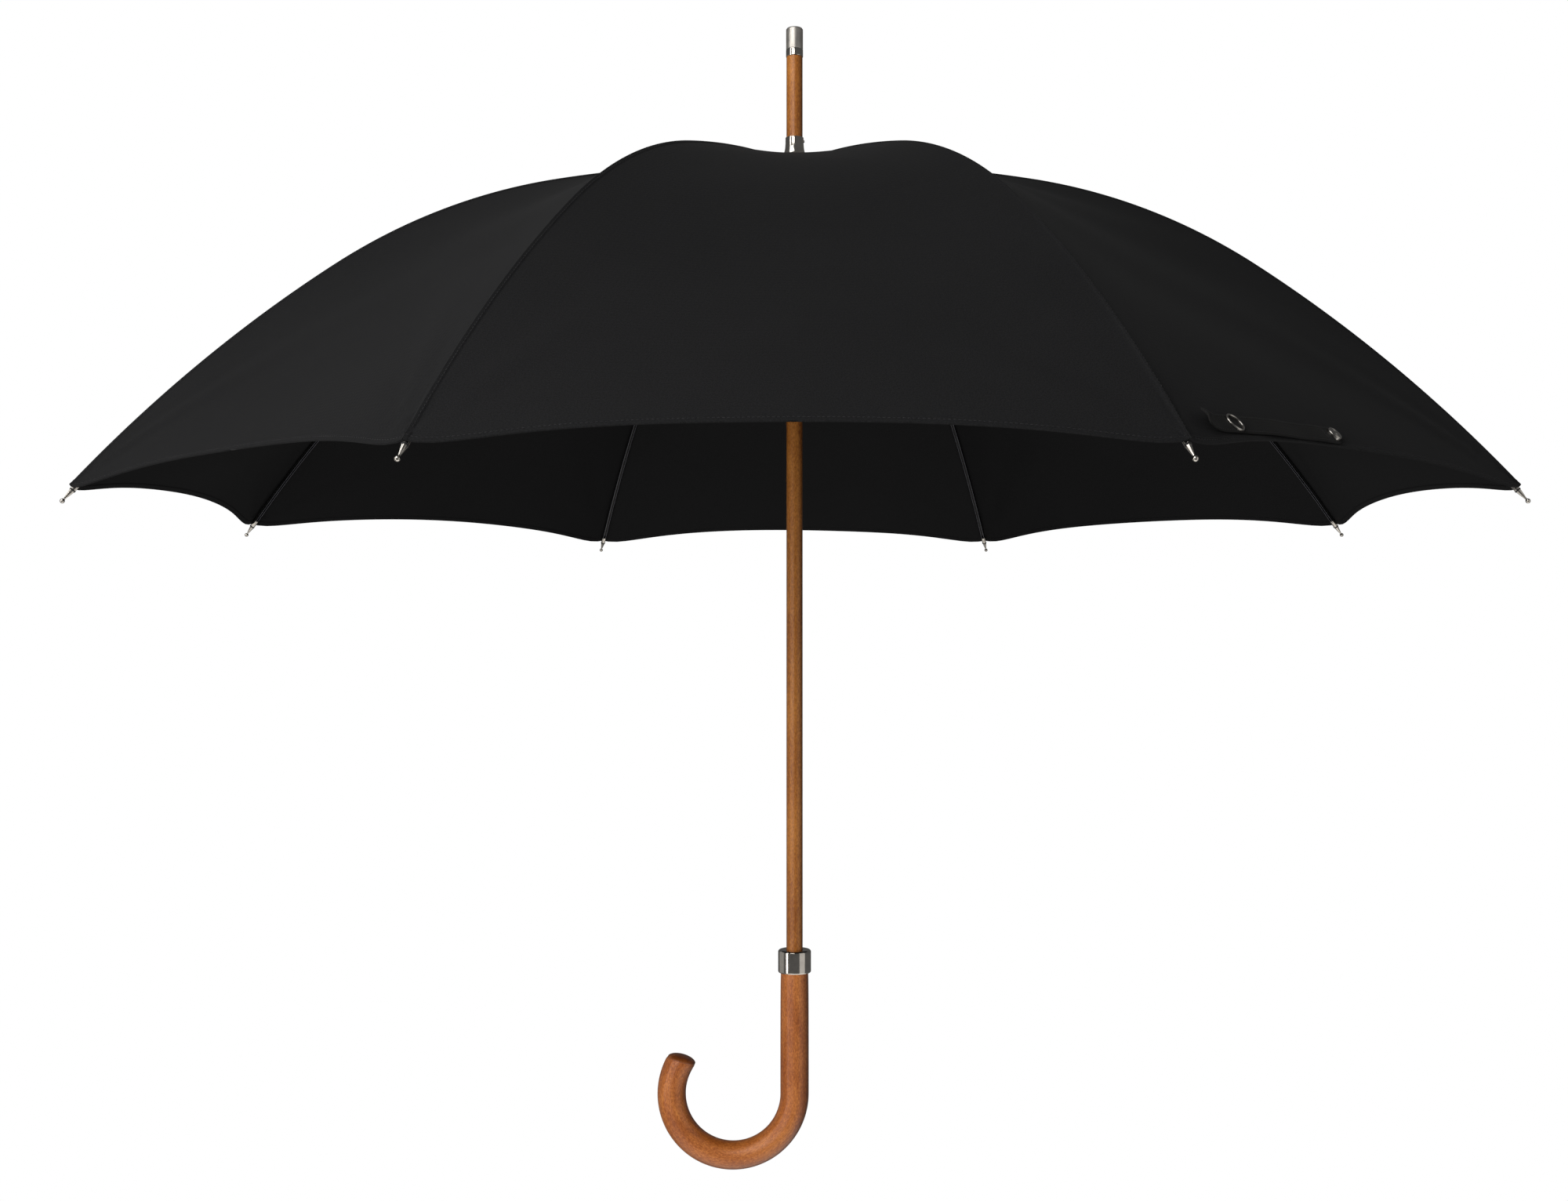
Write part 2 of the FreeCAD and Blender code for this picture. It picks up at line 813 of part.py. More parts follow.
def make_catch(flip):
    """A flat catch from its pin at the origin, its square nose at the far end, along Z."""
    reach = size("catch_reach") - size("catch_pin_offset")
    surface = size("shaft_radius") - size("catch_pin_offset") - 0.3
    length = size("catch_length")
    back = 2.0 - size("catch_pin_offset")
    outline = [
        Vector(0, -1.3, 0),
        Vector(0, 1.3, -0.4),
        Vector(0, surface, 8),
        Vector(0, surface, length - 11),
        Vector(0, reach, length - 3),
        Vector(0, reach, length),
        Vector(0, back, length),
        Vector(0, back, length - 3),
        Vector(0, 0.4, 10),
    ]
    wire = Part.makePolygon(outline + outline[:1])
    width = size("catch_width")
    plate = Part.Face(wire).extrude(Vector(width, 0, 0))
    plate.translate(Vector(-width / 2, 0, 0))
    eye = Part.makeCylinder(1.3, width, Vector(-width / 2, 0, 0), Vector(1, 0, 0))
    hole = Part.makeCylinder(
        size("wire_radius + 0.15"), 4, Vector(-2, 0, 0), Vector(1, 0, 0)
    )
    catch = plate.fuse(eye).cut(hole).removeSplitter()
    if flip:
        catch = catch.mirror(Vector(), Vector(0, 0, 1))
    return catch


top_pin = Vector(0, size("catch_pin_offset"), size(top_pin_height))
hand_pin = Vector(0, size("catch_pin_offset"), size(hand_pin_height))
shaped("top_spring", make_catch(False), Placement(top_pin, Rotation()))
shaped("hand_spring", make_catch(True), Placement(hand_pin, Rotation()))

# ---------------------------------------------------------------- check and export

doc.recompute()
for thing in doc.Objects:
    if "Invalid" in thing.State or "Error" in thing.State:
        raise RuntimeError(f"{thing.Label}: {thing.State}")
os.makedirs("parts", exist_ok=True)
for thing in pieces:
    shape = thing.Shape
    if shape.isNull() or not shape.isValid() or shape.Volume <= 0:
        raise RuntimeError(f"{thing.Label} is not a valid solid")
for thing in pieces:
    thing.Shape.exportStep(os.path.join("parts", f"{thing.Label}.step"))
print(len(pieces), "pieces")
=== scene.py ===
# Stick umbrella: the looks. Everything is in metres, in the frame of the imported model:
# +Z up the shaft, the crook of the handle towards -X, the camera on the -Y side.
import math

import bpy
import numpy as np
from mathutils import Matrix, Vector


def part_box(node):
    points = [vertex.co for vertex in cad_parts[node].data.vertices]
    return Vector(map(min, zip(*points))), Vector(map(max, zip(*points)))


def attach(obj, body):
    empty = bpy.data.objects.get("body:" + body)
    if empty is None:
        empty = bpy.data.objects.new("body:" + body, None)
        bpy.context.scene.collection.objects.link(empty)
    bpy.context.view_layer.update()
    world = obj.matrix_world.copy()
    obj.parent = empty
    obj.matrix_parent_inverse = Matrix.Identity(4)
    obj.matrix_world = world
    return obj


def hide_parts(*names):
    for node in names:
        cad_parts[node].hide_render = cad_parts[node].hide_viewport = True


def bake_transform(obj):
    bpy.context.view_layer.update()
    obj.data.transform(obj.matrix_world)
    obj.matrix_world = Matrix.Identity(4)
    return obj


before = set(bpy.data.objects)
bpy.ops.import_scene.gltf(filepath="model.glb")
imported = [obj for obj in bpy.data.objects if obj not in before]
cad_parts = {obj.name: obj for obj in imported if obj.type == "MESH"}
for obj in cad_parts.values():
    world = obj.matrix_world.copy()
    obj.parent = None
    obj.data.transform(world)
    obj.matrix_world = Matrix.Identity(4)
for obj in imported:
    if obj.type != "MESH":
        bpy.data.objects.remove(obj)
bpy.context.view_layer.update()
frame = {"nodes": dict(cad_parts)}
MM = 0.001


# ------------------------------------------------------------------ node helpers


def new_material(name, finish, **shader):
    """A material with a note of its finish, and a Principled shader with inputs by name."""
    material = bpy.data.materials.new(name)
    material.use_nodes = True
    tree = material.node_tree
    principled = tree.nodes["Principled BSDF"]
    for word, value in shader.items():
        principled.inputs[word.replace("_", " ")].default_value = value
    material["finish"] = finish
    return material, tree, principled


def add(tree, kind, **inputs):
    """A node of a kind, with constant inputs by name and other settings by attribute."""
    node = tree.nodes.new(kind)
    for word, value in inputs.items():
        socket = node.inputs.get(word.replace("_", " "))
        if socket is None:
            setattr(node, word, value)
        else:
            socket.default_value = value
    return node


def coordinates(tree, output, scale):
    """Texture coordinates, stretched by a scale along each axis."""
    source = add(tree, "ShaderNodeTexCoord")
    mapping = add(tree, "ShaderNodeMapping")
    mapping.inputs["Scale"].default_value = scale
    tree.links.new(source.outputs[output], mapping.inputs["Vector"])
    return mapping.outputs["Vector"]


def noise(tree, vector, scale, detail=4.0, roughness=0.6, distortion=0.0):
    node = add(
        tree,
        "ShaderNodeTexNoise",
        Scale=scale,
        Detail=detail,
        Roughness=roughness,
        Distortion=distortion,
    )
    tree.links.new(vector, node.inputs["Vector"])
    return node.outputs["Fac"]


def ramp(tree, factor, stops):
    """A colour ramp from (position, colour) stops."""
    node = add(tree, "ShaderNodeValToRGB")
    elements = node.color_ramp.elements
    while len(elements) < len(stops):
        elements.new(0.5)
    for element, (position, colour) in zip(elements, stops):
        element.position = position
        element.color = (*colour, 1.0)
    tree.links.new(factor, node.inputs["Fac"])
    return node.outputs["Color"]


def spread(tree, factor, low, high):
    """The factor, mapped from 0..1 to low..high."""
    node = add(tree, "ShaderNodeMapRange", To_Min=low, To_Max=high)
    tree.links.new(factor, node.inputs["Value"])
    return node.outputs["Result"]


def bump(tree, height, depth, strength, below=None):
    """A bump of a depth in metres, on top of an earlier bump if one is given."""
    node = add(tree, "ShaderNodeBump", Strength=strength, Distance=depth)
    tree.links.new(height, node.inputs["Height"])
    if below is not None:
        tree.links.new(below, node.inputs["Normal"])
    return node.outputs["Normal"]


def combined(tree, first, second, operation):
    node = add(tree, "ShaderNodeMath", operation=operation)
    tree.links.new(first, node.inputs[0])
    tree.links.new(second, node.inputs[1])
    return node.outputs["Value"]


# ------------------------------------------------------------------ materials

THREADS_PER_METRE = 1900.0
WEAVE_DEPTH = 0.00006
GRAIN_STRETCHES = (0.22, 0.75)  # long streaks, and a nearly even mottle


def fabric(name, dark, light):
    """Fine black plain weave. Its UV map is in metres: across the gore, then along it."""
    material, tree, principled = new_material(
        name,
        "plain weave polyester",
        Specular_IOR_Level=0.10,
        Sheen_Weight=0.02,
        Sheen_Roughness=0.45,
    )
    uv = coordinates(tree, "UV", (1.0, 1.0, 1.0))
    bands = []
    for direction in ("X", "Y"):
        wave = add(
            tree,
            "ShaderNodeTexWave",
            wave_type="BANDS",
            bands_direction=direction,
            Scale=THREADS_PER_METRE / 20.0,
            Distortion=0.25,
            Detail=1.0,
            Detail_Scale=2.0,
        )
        tree.links.new(uv, wave.inputs["Vector"])
        bands.append(wave.outputs["Fac"])
    weave = combined(tree, bands[0], bands[1], "MULTIPLY")
    grain = noise(tree, uv, 1400.0, detail=3.0)
    drift = noise(tree, uv, 9.0, detail=4.0)
    mottle = combined(tree, grain, spread(tree, drift, 0.85, 1.05), "MULTIPLY")
    colour = ramp(tree, mottle, [(0.28, dark), (0.68, light)])
    tree.links.new(colour, principled.inputs["Base Color"])
    roughness = spread(tree, grain, 0.62, 0.82)
    tree.links.new(roughness, principled.inputs["Roughness"])
    normal = bump(tree, weave, WEAVE_DEPTH, 0.55)
    normal = bump(tree, grain, 0.00008, 0.45, normal)
    tree.links.new(normal, principled.inputs["Normal"])
    return material


def wood(name, dark, middle, light, grain_map=None):
    """Varnished close-grained wood: a fine mottle, short pores and faint broad figure.

    The grain runs along Z of the object, or of the named attribute on a bent piece.
    """
    material, tree, principled = new_material(
        name,
        "varnished wood",
        Coat_Weight=0.55,
        Coat_Roughness=0.30,
        Specular_IOR_Level=0.4,
    )
    if grain_map:
        source = add(tree, "ShaderNodeAttribute", attribute_name=grain_map)
        spaces = []
        for stretch in GRAIN_STRETCHES:
            mapping = add(tree, "ShaderNodeMapping")
            mapping.inputs["Scale"].default_value = (1.0, 1.0, stretch)
            tree.links.new(source.outputs["Vector"], mapping.inputs["Vector"])
            spaces.append(mapping.outputs["Vector"])
    else:
        spaces = [coordinates(tree, "Object", (1.0, 1.0, stretch)) for stretch in GRAIN_STRETCHES]
    streaked, even = spaces
    mottle = noise(tree, even, 620.0, detail=5.0, roughness=0.7)
    pores = noise(tree, streaked, 1900.0, detail=2.0)
    figure = noise(tree, streaked, 60.0, detail=3.0, roughness=0.5, distortion=0.8)
    mixed = combined(tree, mottle, pores, "ADD")
    mixed = combined(tree, mixed, figure, "ADD")
    shade = spread(tree, mixed, 0.0, 1.0)
    shade.node.inputs["From Min"].default_value = 1.22
    shade.node.inputs["From Max"].default_value = 1.78
    colour = ramp(tree, shade, [(0.0, dark), (0.5, middle), (1.0, light)])
    tree.links.new(colour, principled.inputs["Base Color"])
    tree.links.new(spread(tree, mottle, 0.36, 0.48), principled.inputs["Roughness"])
    normal = bump(tree, pores, 0.00006, 0.25)
    normal = bump(tree, mottle, 0.00008, 0.2, normal)
    tree.links.new(normal, principled.inputs["Normal"])
    return material


def metal(name, colour, smooth, rough, scratch=0.08):
    """Plated metal with a faint cloudiness and hairline polishing marks."""
    material, tree, principled = new_material(name, "plated metal", Metallic=1.0)
    space = coordinates(tree, "Object", (1.0, 1.0, 1.0))
    fine_space = coordinates(tree, "Object", (1.0, 1.0, 9.0))
    cloud = noise(tree, space, 160.0, detail=4.0)
    lines = noise(tree, fine_space, 900.0, detail=3.0)
    dull = tuple(0.86 * part for part in colour)
    tree.links.new(
        ramp(tree, cloud, [(0.3, dull), (0.62, colour)]), principled.inputs["Base Color"]
    )
    tree.links.new(spread(tree, cloud, smooth, rough), principled.inputs["Roughness"])
    normal = bump(tree, lines, 0.00003, scratch)
    tree.links.new(normal, principled.inputs["Normal"])
    return material


def enamel(name, dark, light, smooth, rough):
    """Black enamel over steel, a little uneven, paler where it has rubbed."""
    material, tree, principled = new_material(
        name, "black enamel", Specular_IOR_Level=0.5, Metallic=0.0
    )
    space = coordinates(tree, "Object", (1.0, 1.0, 1.0))
    speckle = noise(tree, space, 650.0, detail=5.0)
    patches = noise(tree, space, 45.0, detail=3.0)
    shade = combined(tree, speckle, patches, "MULTIPLY")
    tree.links.new(
        ramp(tree, shade, [(0.15, dark), (0.5, light)]), principled.inputs["Base Color"]
    )
    tree.links.new(spread(tree, speckle, smooth, rough), principled.inputs["Roughness"])
    tree.links.new(bump(tree, speckle, 0.00005, 0.3), principled.inputs["Normal"])
    return material


CANOPY = fabric("canopy_cloth", (0.0040, 0.0040, 0.0043), (0.0165, 0.0165, 0.0172))
STRAP_CLOTH = fabric("strap_cloth", (0.0060, 0.0060, 0.0060), (0.0160, 0.0158, 0.0150))
THREAD = enamel("black_thread", (0.010, 0.010, 0.011), (0.030, 0.030, 0.032), 0.45, 0.65)
SHAFT_WOOD = wood("shaft_wood", (0.250, 0.066, 0.006), (0.420, 0.140, 0.018), (0.600, 0.230, 0.040))
HANDLE_WOOD = wood(
    "handle_wood",
    (0.300, 0.070, 0.010),
    (0.490, 0.140, 0.024),
    (0.690, 0.240, 0.052),
    grain_map="grain",
)
PLUG_WOOD = wood("plug_wood", (0.170, 0.038, 0.006), (0.290, 0.078, 0.014), (0.420, 0.130, 0.030))
NICKEL = metal("polished_nickel", (0.70, 0.66, 0.60), 0.08, 0.17)
SATIN = metal("satin_nickel", (0.80, 0.76, 0.70), 0.36, 0.48, scratch=0.15)
DULL_NICKEL = metal("dull_nickel", (0.44, 0.42, 0.39), 0.16, 0.28)
STEEL = metal("spring_steel", (0.50, 0.50, 0.51), 0.22, 0.36, scratch=0.2)
WORN_STEEL = metal("worn_rib_edge", (0.13, 0.13, 0.15), 0.30, 0.42, scratch=0.2)
BLACK_STEEL = enamel("black_enamel", (0.006, 0.006, 0.006), (0.030, 0.030, 0.030), 0.16, 0.28)
RESIN = enamel("black_resin", (0.010, 0.010, 0.010), (0.028, 0.028, 0.028), 0.38, 0.55)


# ------------------------------------------------------------------ mesh helpers


def mesh_object(name, points, faces, material, uv=None, sharp=()):
    """A smooth-shaded mesh piece. uv gives a pair for each point, sharp pairs of points."""
    mesh = bpy.data.meshes.new(name)
    mesh.from_pydata([tuple(point) for point in points], [], faces)
    mesh.polygons.foreach_set("use_smooth", [True] * len(mesh.polygons))
    if uv is not None:
        layer = mesh.uv_layers.new(name="cloth")
        corner_points = np.empty(len(mesh.loops), dtype=np.int64)
        mesh.loops.foreach_get("vertex_index", corner_points)
        layer.data.foreach_set("uv", np.asarray(uv, dtype=np.float32)[corner_points].ravel())
    if sharp:
        marked = {frozenset(pair) for pair in sharp}
        flags = [frozenset(edge.vertices) in marked for edge in mesh.edges]
        attribute = mesh.attributes.new("sharp_edge", "BOOLEAN", "EDGE")
        attribute.data.foreach_set("value", flags)
    mesh.materials.append(material)
    thing = bpy.data.objects.new(name, mesh)
    bpy.context.scene.collection.objects.link(thing)
    return thing


def grid_faces(rows, columns, closed=False, flip=False, first=0):
    """Quads over a grid of points stored row by row."""
    faces = []
    for row in range(rows - 1):
        for column in range(columns if closed else columns - 1):
            here = first + row * columns + column
            beside = first + row * columns + (column + 1) % columns
            face = (here, beside, beside + columns, here + columns)
            faces.append(face[::-1] if flip else face)
    return faces


def rim_of(rows, columns):
    """The points round the edge of a grid, in order, from its first corner."""
    rim = list(range(columns))
    rim += [row * columns + columns - 1 for row in range(1, rows)]
    rim += [(rows - 1) * columns + column for column in range(columns - 2, -1, -1)]
    rim += [row * columns for row in range(rows - 2, 0, -1)]
    return rim


def step_up(value, start, end):
    """0 before start, 1 after end, and a smooth step between."""
    t = min(max((value - start) / (end - start), 0.0), 1.0)
    return t * t * (3 - 2 * t)


def rounded(profile, radius, steps=4):
    """The (radius, height) outline with each inner corner replaced by a small arc."""
    result = [profile[0]]
    for before, corner, after in zip(profile, profile[1:], profile[2:]):
        corner_point = Vector(corner)
        back, ahead = Vector(before) - corner_point, Vector(after) - corner_point
        reach = min(radius, back.length * 0.45, ahead.length * 0.45)
        start = corner_point + back.normalized() * reach
        end = corner_point + ahead.normalized() * reach
        for step in range(steps + 1):
            t = step / steps
            point = start * (1 - t) ** 2 + corner_point * 2 * t * (1 - t) + end * t * t
            result.append(tuple(point))
    result.append(profile[-1])
    return result


def turned(name, profile, material, where=None, segments=96, flute=None):
    """A turned piece about Z. flute(angle, height share) scales the radius if given."""
    where = where or Matrix.Identity(4)
    points = []
    for number, (radius, height) in enumerate(profile):
        for segment in range(segments):
            angle = 2 * math.pi * segment / segments
            scale = flute(angle, number / (len(profile) - 1)) if flute else 1.0
            reach = max(radius, 1e-5) * scale
            point = (reach * math.cos(angle), reach * math.sin(angle), height)
            points.append(where @ Vector(point))
    return mesh_object(name, points, grid_faces(len(profile), segments, closed=True), material)


def tube(name, path, radii, material, segments=48, sides=None, end_normal=None, slant=1):
    """A round tube along a path of points, with a radius for each of them.

    end_normal slants its last ring into a plane, and slant rings before it lean gradually.
    Its "grain" attribute holds the tube's own straightened coordinates.
    """
    points, grain = [], []
    count = len(path)
    across = Vector(sides or (0, 1, 0))
    travelled = 0.0
    for number, (centre, radius) in enumerate(zip(path, radii)):
        ahead = Vector(path[min(number + 1, count - 1)]) - Vector(path[max(number - 1, 0)])
        ahead.normalize()
        second = ahead.cross(across).normalized()
        first = second.cross(ahead).normalized()
        if number:
            travelled += (Vector(centre) - Vector(path[number - 1])).length
        lean = step_up(number, count - 1 - slant, count - 1)
        for segment in range(segments):
            angle = 2 * math.pi * segment / segments
            offset = (first * math.cos(angle) + second * math.sin(angle)) * radius
            if end_normal is not None:
                offset -= ahead * (lean * offset.dot(end_normal) / ahead.dot(end_normal))
            points.append(Vector(centre) + offset)
            grain.append((radius * math.cos(angle), radius * math.sin(angle), travelled))
    thing = mesh_object(name, points, grid_faces(count, segments, closed=True), material)
    attribute = thing.data.attributes.new("grain", "FLOAT_VECTOR", "POINT")
    attribute.data.foreach_set("vector", np.asarray(grain, dtype=np.float32).ravel())
    return thing


def finished(thing, body, slot, *nodes):
    """Say what a piece rides on and which CAD nodes it replaces. The slot, for its finish, is not
    used.
    """
    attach(thing, body)
    if nodes:
        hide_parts(*nodes)


# ------------------------------------------------------------------ places, from the frame


def heights(node):
    low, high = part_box(node)
    return low.z, high.z


def half_width(node):
    low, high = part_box(node)
    return (high.x - low.x) / 2


def rib_azimuth(number):
    """Radians from +X to a rib, counted from 0."""
    return (number + 0.5) * math.pi / 4


def turn_about_shaft(angle):
    return Matrix.Rotation(angle, 4, "Z")


# ------------------------------------------------------------------ the canopy's shape

# A seam is three tangent arcs: their lengths, and their slopes from end to end.
SEAM_LENGTHS = (190 * MM, 185 * MM, 244 * MM)
SEAM_SLOPES = [math.radians(slope) for slope in (4.7, 13.9, 36.6, 49.6)]
SEAM_LENGTH = sum(SEAM_LENGTHS)
EYE_RADIUS = 8 * MM
HALF_GORE = math.pi / 8
SAG = 12 * MM
HEM_RISE = 15 * MM
HEM_BULGE = 4.5 * MM
BULGE_AT = 0.11  # share of the half gore, from its tip
RIB_MIDDLE = 3.1 * MM  # under the seam
FAN_HEIGHT = 0.0011
BROAD_HEIGHT = 0.0007
crown_height = max(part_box(f"gore_{number + 1}a")[1].z for number in range(8))


def seam_arcs():
    """The three tangent arcs of a seam, as (centre, radius, first slope)."""
    arcs = []
    start = np.array([EYE_RADIUS, 0.0, crown_height])
    for length, slope, following in zip(SEAM_LENGTHS, SEAM_SLOPES, SEAM_SLOPES[1:]):
        radius = length / (following - slope)
        centre = start - radius * np.array([math.sin(slope), 0, math.cos(slope)])
        arcs.append((centre, radius, slope))
        start = centre + radius * np.array([math.sin(following), 0, math.cos(following)])
    return arcs


ARCS = seam_arcs()


def seam(distance, depth=0.0):
    """A point of the seam in the XZ plane, so far along it and so far under it."""
    number = 0
    while number < len(SEAM_LENGTHS) - 1 and distance > SEAM_LENGTHS[number]:
        distance -= SEAM_LENGTHS[number]
        number += 1
    centre, radius, slope = ARCS[number]
    turn = slope + distance / radius
    return centre + (radius - depth) * np.array([math.sin(turn), 0, math.cos(turn)])


def slope_at(distance):
    ahead = seam(distance + 1e-4) - seam(distance - 1e-4)
    return ahead / np.linalg.norm(ahead)


def hem_distance(across):
    """How far along the seam the hem lies; across runs from 0 to 1 over a whole gore.

    The hem rises to the gore's middle, but bulges a little just beside each tip.
    """
    beside = 2 * min(across, 1 - across) / BULGE_AT
    bulge = HEM_BULGE * beside * math.exp(1 - beside)
    return SEAM_LENGTH - HEM_RISE * (1 - (2 * across - 1) ** 2) + bulge


def ripple(number, distance, across):
    """Small folds of the stretched cloth: they fan out of each tip and fade up the gore."""
    total = 0.0
    for side in (0, 1):
        share = across if side == 0 else 1 - across
        width = 2 * seam(distance)[0] * math.sin(HALF_GORE)
        sideways = share * width
        up = max(SEAM_LENGTH - distance, 0.0)
        reach = math.hypot(sideways, up)
        if reach < 1e-4:
            continue
        angle = math.atan2(sideways, up)
        phase = 1.7 * number + 2.3 * side
        fan = math.sin(11 * angle + phase) + 0.6 * math.sin(19 * angle + 2.1 * phase)
        edge = math.sin(min(angle / 1.2, 1.0) * math.pi)
        fade = math.exp(-reach / 0.085) * min(reach / 0.02, 1.0)
        total += FAN_HEIGHT * (1 + 0.5 * math.sin(3.1 * number + side)) * fan * edge * fade
    broad = math.sin(2.1 * number + 23 * distance + 5 * across)
    broad += 0.7 * math.sin(1.3 * number - 41 * distance + 9 * across)
    total += BROAD_HEIGHT * broad * math.sin(math.pi * across) * min(distance / 0.2, 1.0)
    return total


def gore_point(number, distance, across, lift=0.0, rippled=True):
    """A point of gore number, in the row frame. across is 0 on its first rib and 1 on the next."""
    base = seam(distance)
    first = np.array([base[0] * math.cos(HALF_GORE), -base[0] * math.sin(HALF_GORE), base[2]])
    second = first * np.array([1, -1, 1])
    ahead = slope_at(distance)
    normal = np.array([-ahead[2], 0.0, ahead[0] * math.cos(HALF_GORE)])
    normal /= np.linalg.norm(normal)
    progress = min(max(distance / SEAM_LENGTH, 0.0), 1.0)
    sag = SAG * math.sin(math.pi * progress**1.2)
    fullness = 1 - (2 * across - 1) ** 2
    offset = lift - sag * fullness
    if rippled:
        offset += ripple(number, distance, across)
    point = first * (1 - across) + second * across + normal * offset
    angle = rib_azimuth(number) + HALF_GORE
    turn_cos, turn_sin = math.cos(angle), math.sin(angle)
    return np.array(
        [
            point[0] * turn_cos - point[1] * turn_sin,
            point[0] * turn_sin + point[1] * turn_cos,
            point[2],
        ]
    )


# ------------------------------------------------------------------ canopy panels

CLOTH = 0.45 * MM
HEM_FOLD = 4.4 * MM
HEM_STITCH = 3.1 * MM
STITCH_PITCH = 2.7 * MM
LAP_STITCH = 1.7 * MM
PLAIN_ROWS = 78
PLAIN_COLUMNS = 22
# Millimetres from the seam, and from the hem, where the rows of points lie closer.
SEAM_COLUMNS = [0, 0.6, 1.2, 1.7, 2.2, 2.6, 3.0, 4.0, 7.0]
HEM_ROWS = [9, 6.5, 5.2, 4.7, 4.3, 3.9, 3.5, 3.1, 2.7, 1.8, 0.6, 0]


def panel_rows(across):
    """Distances along the seam, closest together in the folded hem."""
    hem = hem_distance(across)
    near = 1 * MM
    last = hem - HEM_ROWS[0] * MM
    plain = [near + (last - near) * step / PLAIN_ROWS for step in range(PLAIN_ROWS)]
    return plain + [hem - rise * MM for rise in HEM_ROWS]


def panel_columns(width):
    """Shares of the half gore: a few close to the seam, then evenly to the middle line."""
    squeeze = min(width / (25 * MM), 1.0)
    close = [column * MM * squeeze / width for column in SEAM_COLUMNS]
    left = 1 - close[-1]
    even = [close[-1] + left * (step + 1) / PLAIN_COLUMNS for step in range(PLAIN_COLUMNS)]
    return close + even


def half_width_at(distance):
    return seam(distance)[0] * math.sin(HALF_GORE)


def relief(sideways, from_hem, lapped):
    """How much the folded hem and the felled seam raise the cloth."""
    lift = 0.25 * MM * (1 - step_up(from_hem, HEM_FOLD - 0.5 * MM, HEM_FOLD + 0.3 * MM))
    lift -= 0.20 * MM * math.exp(-(((from_hem - HEM_STITCH) / (0.5 * MM)) ** 2))
    if lapped:
        lift += 0.55 * MM * (1 - step_up(sideways, 2.3 * MM, 2.8 * MM))
        lift -= 0.16 * MM * math.exp(-(((sideways - LAP_STITCH) / (0.4 * MM)) ** 2))
    lift += 0.45 * MM * math.exp(-sideways / (1.0 * MM))
    return lift


def set_weights(thing, shares, rib, panel):
    """Bake a piece's transform into its mesh. Its shares, rib and panel are not used."""
    start = Vector(gore_point(0, SEAM_LENGTH / 2, 0.0))
    end = Vector(gore_point(0, SEAM_LENGTH / 2, 0.5))
    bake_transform(thing)


def half_of(number, side):
    """The rib that carries a half gore, its panel body, and its share-to-across rule."""
    rib = number if side == "a" else (number + 1) % 8
    rule = (lambda share: share / 2) if side == "a" else (lambda share: 1 - share / 2)
    return f"rib_{rib + 1}", f"panel_{number + 1}{side}", rule


def half_panel(number, side):
    """One half gore of cloth: an outer and an inner layer, closed by its rim."""
    rib, panel, across_of = half_of(number, side)
    lapped = side == "a"
    rows = PLAIN_ROWS + len(HEM_ROWS)
    columns = len(SEAM_COLUMNS) + PLAIN_COLUMNS
    outer, inner, shares, uv = [], [], [], []
    for row, quarter_way in enumerate(panel_rows(0.25)):
        for share in panel_columns(half_width_at(quarter_way)):
            across = across_of(share)
            distance = panel_rows(across)[row]
            sideways = share * half_width_at(distance)
            from_hem = hem_distance(across) - distance
            raised = relief(sideways, from_hem, lapped)
            outer.append(gore_point(number, distance, across, raised))
            fold = 0.45 * MM * (1 - step_up(from_hem, HEM_FOLD - 0.5 * MM, HEM_FOLD + 0.3 * MM))
            inner.append(gore_point(number, distance, across, -CLOTH - fold))
            shares.append(share)
            uv.append((sideways * (1 if lapped else -1), distance))
    flip = side == "b"
    faces = grid_faces(rows, columns, flip=not flip)
    faces += grid_faces(rows, columns, flip=flip, first=len(outer))
    rim = rim_of(rows, columns)
    sharp = []
    for here, beside in zip(rim, rim[1:] + rim[:1]):
        face = (here, beside, beside + len(outer), here + len(outer))
        faces.append(face if not flip else face[::-1])
        sharp += [(here, beside), (here + len(outer), beside + len(outer))]
    cloth = mesh_object(
        f"gore_{number + 1}{side}_cloth", outer + inner, faces, CANOPY, uv + uv, sharp
    )
    set_weights(cloth, shares + shares, rib, panel)
    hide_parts(f"gore_{number + 1}{side}")


def stitch(points, faces, start, end, normal, radius=0.17 * MM):
    """One stitch, dipping into the cloth at both ends. Gives the count of its points."""
    ahead = end - start
    side = np.cross(ahead, normal)
    side /= np.linalg.norm(side)
    first = len(points)
    for share, lift, size in ((0, -1.2, 0.6), (0.25, 0.7, 1.0), (0.75, 0.7, 1.0), (1, -1.2, 0.6)):
        centre = start + ahead * share + normal * radius * lift
        for angle in (0.25, 0.75, 1.25, 1.75):
            turn = angle * math.pi
            offset = side * math.cos(turn) + normal * math.sin(turn)
            points.append(centre + offset * radius * size)
    for ring in range(3):
        for corner in range(4):
            here = first + ring * 4 + corner
            beside = first + ring * 4 + (corner + 1) % 4
            faces.append((here, beside, beside + 4, here + 4))
    faces.append((first + 3, first + 2, first + 1, first))
    faces.append((first + 12, first + 13, first + 14, first + 15))
    return len(points) - first


